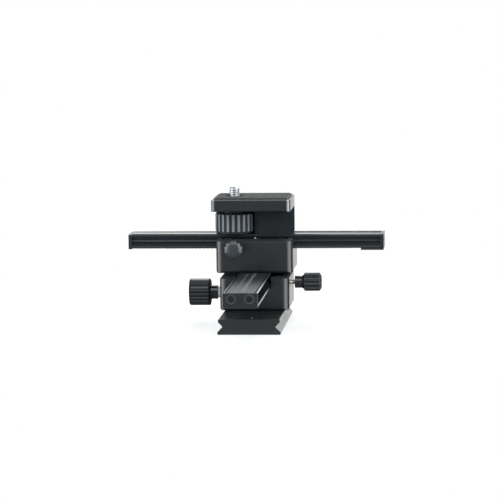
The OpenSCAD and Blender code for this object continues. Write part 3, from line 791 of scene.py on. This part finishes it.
def camera_thread():
    """The quarter-inch screw of the platform, threaded from end to end with a chamfered tip."""
    low, high = box_mm("camera_screw")
    radius = (high.x - low.x) / 2
    length = high.z - low.z
    bm = screw_thread(radius, STUD_DEPTH, STUD_PITCH, length)
    for vert in bm.verts:
        hold_within(vert, radius - STUD_CHAMFER + max(0.0, length - vert.co.z))
    middle = (low + high) / 2
    bmesh.ops.translate(bm, vec=(middle.x, middle.y, low.z), verts=bm.verts)
    piece = add_piece("camera_thread", bm, steel, "camera_screw")
    smooth(piece)
    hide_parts("camera_screw")


def socket_thread(steps=32):
    """The thread inside the socket under the base plate: a ridge that winds up the hole."""
    low, _ = box_mm("base_plate")
    foot = SOCKET_RADIUS - RIDGE_FOOT
    bm = bmesh.new()
    verts, edges = add_outline(bm, [
        (foot, 0.0), (SOCKET_RADIUS - RIDGE_HEIGHT, STUD_PITCH / 2), (foot, STUD_PITCH),
    ])
    edges.append(bm.edges.new((verts[-1], verts[0])))
    bm.faces.new(verts)
    last = wind(bm, verts + edges, STUD_PITCH, int(SOCKET_DEPTH / STUD_PITCH) - 1, steps)
    bmesh.ops.edgeloop_fill(bm, edges=edges_in(last))
    bmesh.ops.translate(bm, vec=(0, low.y + SOCKET_FROM_FRONT, SOCKET_START), verts=bm.verts)
    smooth(add_piece("tripod_socket_thread", bm, steel, "base"))


def knob_cap(stage, axis):
    """The moulded disc in the dished end of a drive knob."""
    tip, radius, _ = round_node(f"{stage}_drive_knob", axis)
    disc = radius - DISC_MARGIN
    ring = disc - DISC_RING
    bm = turned([
        (0, -DISC_THICK), (disc, -DISC_THICK), (disc, -DISC_BEVEL), (disc - DISC_BEVEL, -RING_SINK),
        (ring, -RING_SINK), (ring - GROOVE_WALL, -DISC_BEVEL), (ring - 3 * GROOVE_WALL, -DISC_BEVEL),
        (ring - 4 * GROOVE_WALL, -BOSS_SINK), (0, 0.0),
    ])
    stand(bm, axis, tip)
    smooth(add_piece(f"{stage}_knob_cap", bm, plastic, f"{stage}_drive"))


def lock_crown(stage, axis):
    """The cap on the end of a lock knob, with sloping lobes round it."""
    tip, rim, _ = round_node(f"{stage}_lock_knob", axis)
    bm = turned([
        (0, -CROWN_EDGE), (rim - CROWN_EDGE - CROWN_DRAFT, -CROWN_EDGE), (rim - CROWN_EDGE, 0.0),
        (rim - 0.5 * CROWN_SLOPE, CROWN_BULGE * CROWN_RISE), (rim - CROWN_SLOPE, CROWN_RISE),
        (0.4 * rim, CROWN_RISE + 0.75 * CROWN_DOME), (0, CROWN_RISE + CROWN_DOME),
    ], 12 * LOCK_RIBS)
    for vert in bm.verts:
        turn = math.atan2(vert.co.y, vert.co.x) * LOCK_RIBS
        off = abs(math.remainder(turn, 2 * math.pi)) / LOCK_RIBS * rim
        hold_within(vert, rim - LOCK_FLUTE * math.sqrt(max(0.0, 1 - (off / FLUTE_HALF) ** 2)))
    stand(bm, axis, tip - Vector(axis) * KNOB_DOME)
    smooth(add_piece(f"{stage}_lock_crown", bm, lit_lobe_plastic, f"{stage}_lock"), 50)


def head_cheek():
    """The cheek of the head block that closes the wheel's pocket, and a lip behind the rail."""
    low, high = box_mm("head_block")
    _, wheel = box_mm("thumbwheel")
    _, rail = box_mm("x_rail")
    near = wheel.x + CHEEK_GAP
    far = wheel.x + POCKET_SIDE
    bm = bmesh.new()
    add_box(bm, (near, low.y + CHEEK_BACK, low.z), (far, wheel.y, high.z))
    rim = [edge for edge in bm.edges if all(vert.co.x < (near + far) / 2 for vert in edge.verts)]
    bevel(bm, rim, CHEEK_BEVEL, segments=3)
    back = rail.y + LIP_GAP
    add_box(bm, (low.x, back, low.z - LIP_DROP), (far, back + LIP_THICK, low.z))
    add_piece("head_block_cheek", bm, cheek_lightened, "x_table")


def index_dot(name, place, body, rise=DOT_RAISE):
    """A painted dot, or the round head of a pin, on an upward face."""
    bm = turned([(0, -DOT_RAISE), (DOT_RADIUS, -DOT_RAISE), (DOT_RADIUS, 0.5 * rise), (0, rise)], 24)
    bmesh.ops.translate(bm, vec=place, verts=bm.verts)
    add_piece(name, bm, paint, body)


def add_figure(bm, words, place):
    """Adds a number, lying flat, to a bmesh."""
    curve = bpy.data.curves.new("figure", "FONT")
    curve.body = words
    curve.size = FIGURE_HEIGHT
    curve.align_x = "CENTER"
    curve.align_y = "CENTER"
    curve.resolution_u = 3
    curve.extrude = TICK_RAISE
    holder = bpy.data.objects.new("figure", curve)
    mesh = holder.to_mesh()
    mesh.transform(place)
    bm.from_mesh(mesh)
    holder.to_mesh_clear()
    bpy.data.objects.remove(holder)
    bpy.data.curves.remove(curve)


def rail_scale(stage, turn, covered):
    """Millimetre ticks and plain numbers along the top of a rail, apart from its covered stretch."""
    low, high = box_mm(f"{stage}_rail")
    middle = (low + high) / 2
    on_top = Matrix.Translation((middle.x, middle.y, high.z)) @ Matrix.Rotation(turn, 4, "Z")
    bm = bmesh.new()
    for mark in range(-SCALE_REACH, SCALE_REACH + 1):
        clear = max(covered[0] - mark, mark - covered[1])
        if clear < SCALE_GAP:
            continue
        step = max(s for s in TICK_LENGTHS if (mark + SCALE_REACH) % s == 0)
        start = (mark - TICK_WIDTH / 2, TICK_START, -TICK_RAISE)
        end = (mark + TICK_WIDTH / 2, TICK_START + TICK_LENGTHS[step], TICK_RAISE)
        add_box(bm, start, end, on_top)
        if step == FIGURE_STEP and clear > FIGURE_GAP:
            spot = Matrix.Translation((mark, FIGURE_MIDDLE, 0))
            add_figure(bm, str(mark + SCALE_REACH), on_top @ spot)
    add_piece(f"{stage}_rail_scale", bm, faint_paint, f"{stage}_table")


def grip_pad():
    """The rubber facing of the platform: a thin sheet with bevelled ribs, cut round the screw."""
    low, high = box_mm("platform_pad")
    stud = middle_mm("camera_screw")
    ring_low, ring_high = box_mm("retaining_ring")
    clear = (ring_high.x - ring_low.x) / 2 + RING_CLEAR
    bm = bmesh.new()
    bm.from_mesh(nodes["platform_pad"].data)
    bmesh.ops.scale(bm, vec=(1 / MM,) * 3, verts=bm.verts)
    bmesh.ops.remove_doubles(bm, verts=bm.verts, dist=MERGE)
    share = (high.z - low.z - RIB_HEIGHT) / (high.z - low.z)
    bmesh.ops.scale(bm, vec=(1, 1, share), space=Matrix.Translation((0, 0, -low.z)), verts=bm.verts)
    count = int((high.y - low.y - 2 * RIB_MARGIN) / RIB_STEP)
    first = (low.y + high.y - count * RIB_STEP) / 2
    for row in range(count + 1):
        across = first + row * RIB_STEP
        gap = clear ** 2 - (across - stud.y) ** 2
        ends = [low.x + RIB_MARGIN, high.x - RIB_MARGIN]
        if gap > 0:
            ends[1:1] = [stud.x - math.sqrt(gap), stud.x + math.sqrt(gap)]
        for start, end in zip(ends[::2], ends[1::2]):
            add_rib(bm, start, end, across, high.z)
    piece = add_piece("platform_grip", bm, rubber, "x_table")
    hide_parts("platform_pad")


def add_rib(bm, start, end, across, top):
    """Adds one bevelled rib along X, with its crest at the height top."""
    half = RIB_WIDTH / 2
    foot = top - RIB_HEIGHT - RIB_SINK
    verts = add_box(bm, (start, across - half, foot), (end, across + half, top))
    edges = {edge for vert in verts for edge in vert.link_edges}
    crest = [edge for edge in edges if all(vert.co.z > (foot + top) / 2 for vert in edge.verts)]
    bevel(bm, crest, RIB_BEVEL, segments=2)


def add_details():
    """Makes the pieces that the CAD leaves plain or leaves out."""
    for stage, axis in LOCK_AXES.items():
        lock_thread(stage, axis)
    camera_thread()
    socket_thread()
    for stage, axis in LOCK_AXES.items():
        lock_crown(stage, axis)
    for stage, axis in DRIVE_AXES.items():
        knob_cap(stage, axis)
    grip_pad()
    head_cheek()
    rail = middle_mm("y_rail")
    low, upper = box_mm("x_carriage")
    rail_scale("y", math.pi / 2, (low.y - rail.y, upper.y - rail.y))
    low, high = box_mm("head_block")
    rail_scale("x", 0.0, (low.x, high.x))
    low, _ = box_mm("x_rail")
    index_dot("x_index_dot", (0, low.y - DOT_BESIDE_RAIL, upper.z), "y_table", PIN_RISE)
    _, high = box_mm("y_rail")
    _, lower = box_mm("y_carriage")
    index_dot("y_index_dot", (high.x + DOT_BESIDE_RAIL, 0, lower.z), "base")
    low, high = box_mm("base_plate")
    index_dot("base_index_dot", (BASE_DOT_SIDE, low.y + BASE_DOT_BACK, high.z), "base")


def studio_world():
    """White backdrop behind, bright panels at the sides and above, dark towards the front."""
    world = bpy.data.worlds.new("studio")
    world.use_nodes = True
    bpy.context.scene.world = world
    tree = Tree(world.node_tree)
    sky = tree.node("ShaderNodeTexCoord", output="Generated")
    x, y, z = (tree.split(sky, axis) for axis in "XYZ")
    turn = x.turn(y * -1)
    gain = (x * -1).step(0.0, 0.16) * BACKDROP_LEFT + x.step(0.0, 0.1) * BACKDROP_RIGHT
    backdrop = y.step(*BACKDROP_RIM) * z.step(*BACKDROP_FOOT) * (gain + BACKDROP_MIDDLE)
    right = turn.band(*RIGHT_SPAN) * RIGHT_PANEL
    left = (turn * -1).band(*LEFT_SPAN) * LEFT_PANEL
    sides = (right + left) * z.band(*SIDE_LEVEL)
    above = (y * TOP_AIM[0] + z * TOP_AIM[1]).step(*TOP_RIM) * TOP_PANEL
    front_top = (y * FRONT_AIM[0] + z * FRONT_AIM[1]).step(*FRONT_RIM) * FRONT_PANEL
    ahead = (y * -1).step(*AHEAD_RIM)
    seen = tree.node("ShaderNodeLightPath", output="Is Camera Ray")
    room = backdrop + sides + above + front_top + ahead * AHEAD_GLOW + ROOM_GLOW
    tint = tree.mix(ahead * (1 - seen), (1, 1, 1, 1), AHEAD_TINT)
    strength = seen + (1 - seen) * room
    light = tree.node("ShaderNodeBackground", {}, {"Color": tint, "Strength": strength})
    tree.node("ShaderNodeOutputWorld", {}, (light,))


def studio_floor():
    """A pale floor that keeps the shadow and runs out into the white backdrop."""
    bm = bmesh.new()
    bmesh.ops.create_grid(bm, x_segments=1, y_segments=1, size=FLOOR_SIZE)
    bmesh.ops.translate(bm, vec=(0, 0, -FLOOR_DROP), verts=bm.verts)
    mesh = bpy.data.meshes.new("floor")
    bm.to_mesh(mesh)
    bm.free()
    floor = bpy.data.objects.new("floor", mesh)
    bpy.context.scene.collection.objects.link(floor)
    material = bpy.data.materials.new("pale_floor")
    material.use_nodes = True
    tree = Tree(material.node_tree)
    far = tree.length(tree.node("ShaderNodeTexCoord", output="Object")).step(*FLOOR_FADE)
    matte = tree.node("ShaderNodeBsdfDiffuse", {}, {"Color": grey(FLOOR_SHADE)})
    white = tree.node("ShaderNodeEmission", {}, {"Strength": 1.0})
    open_air = tree.node("ShaderNodeBsdfTransparent")
    share = far * (1 - FLOOR_WHITE) + FLOOR_WHITE
    looked_at = tree.node("ShaderNodeMixShader", {}, (share, matte, white))
    seen = tree.node("ShaderNodeLightPath", output="Is Camera Ray")
    both = tree.node("ShaderNodeMixShader", {}, (seen, open_air, looked_at))
    tree.node("ShaderNodeOutputMaterial", {}, (both,))
    mesh.materials.append(material)


def photo_camera():
    """The lens at the view that the photograph shows."""
    yaw = math.radians(VIEW_YAW)
    pitch = math.radians(VIEW_PITCH)
    roll = math.radians(VIEW_ROLL)
    ahead = Vector((-math.sin(yaw) * math.cos(pitch), math.cos(yaw) * math.cos(pitch), -math.sin(pitch)))
    level = Vector((math.cos(yaw), math.sin(yaw), 0))
    upright = level.cross(ahead)
    right = math.cos(roll) * level + math.sin(roll) * upright
    up = math.cos(roll) * upright - math.sin(roll) * level
    lens = bpy.data.cameras.new("photo_camera")
    lens.lens = VIEW_LENS
    lens.sensor_width = VIEW_SENSOR
    lens.clip_end = VIEW_REACH
    camera = bpy.data.objects.new("photo_camera", lens)
    turn = Matrix((right, up, -ahead)).transposed().to_4x4()
    camera.matrix_world = Matrix.Translation(Vector(VIEW_PLACE) * MM) @ turn
    bpy.context.scene.collection.objects.link(camera)
    bpy.context.scene.camera = camera


photo_camera()
dress_cad_nodes()
add_details()
studio_world()
studio_floor()
bpy.context.scene.view_settings.view_transform = "Standard"
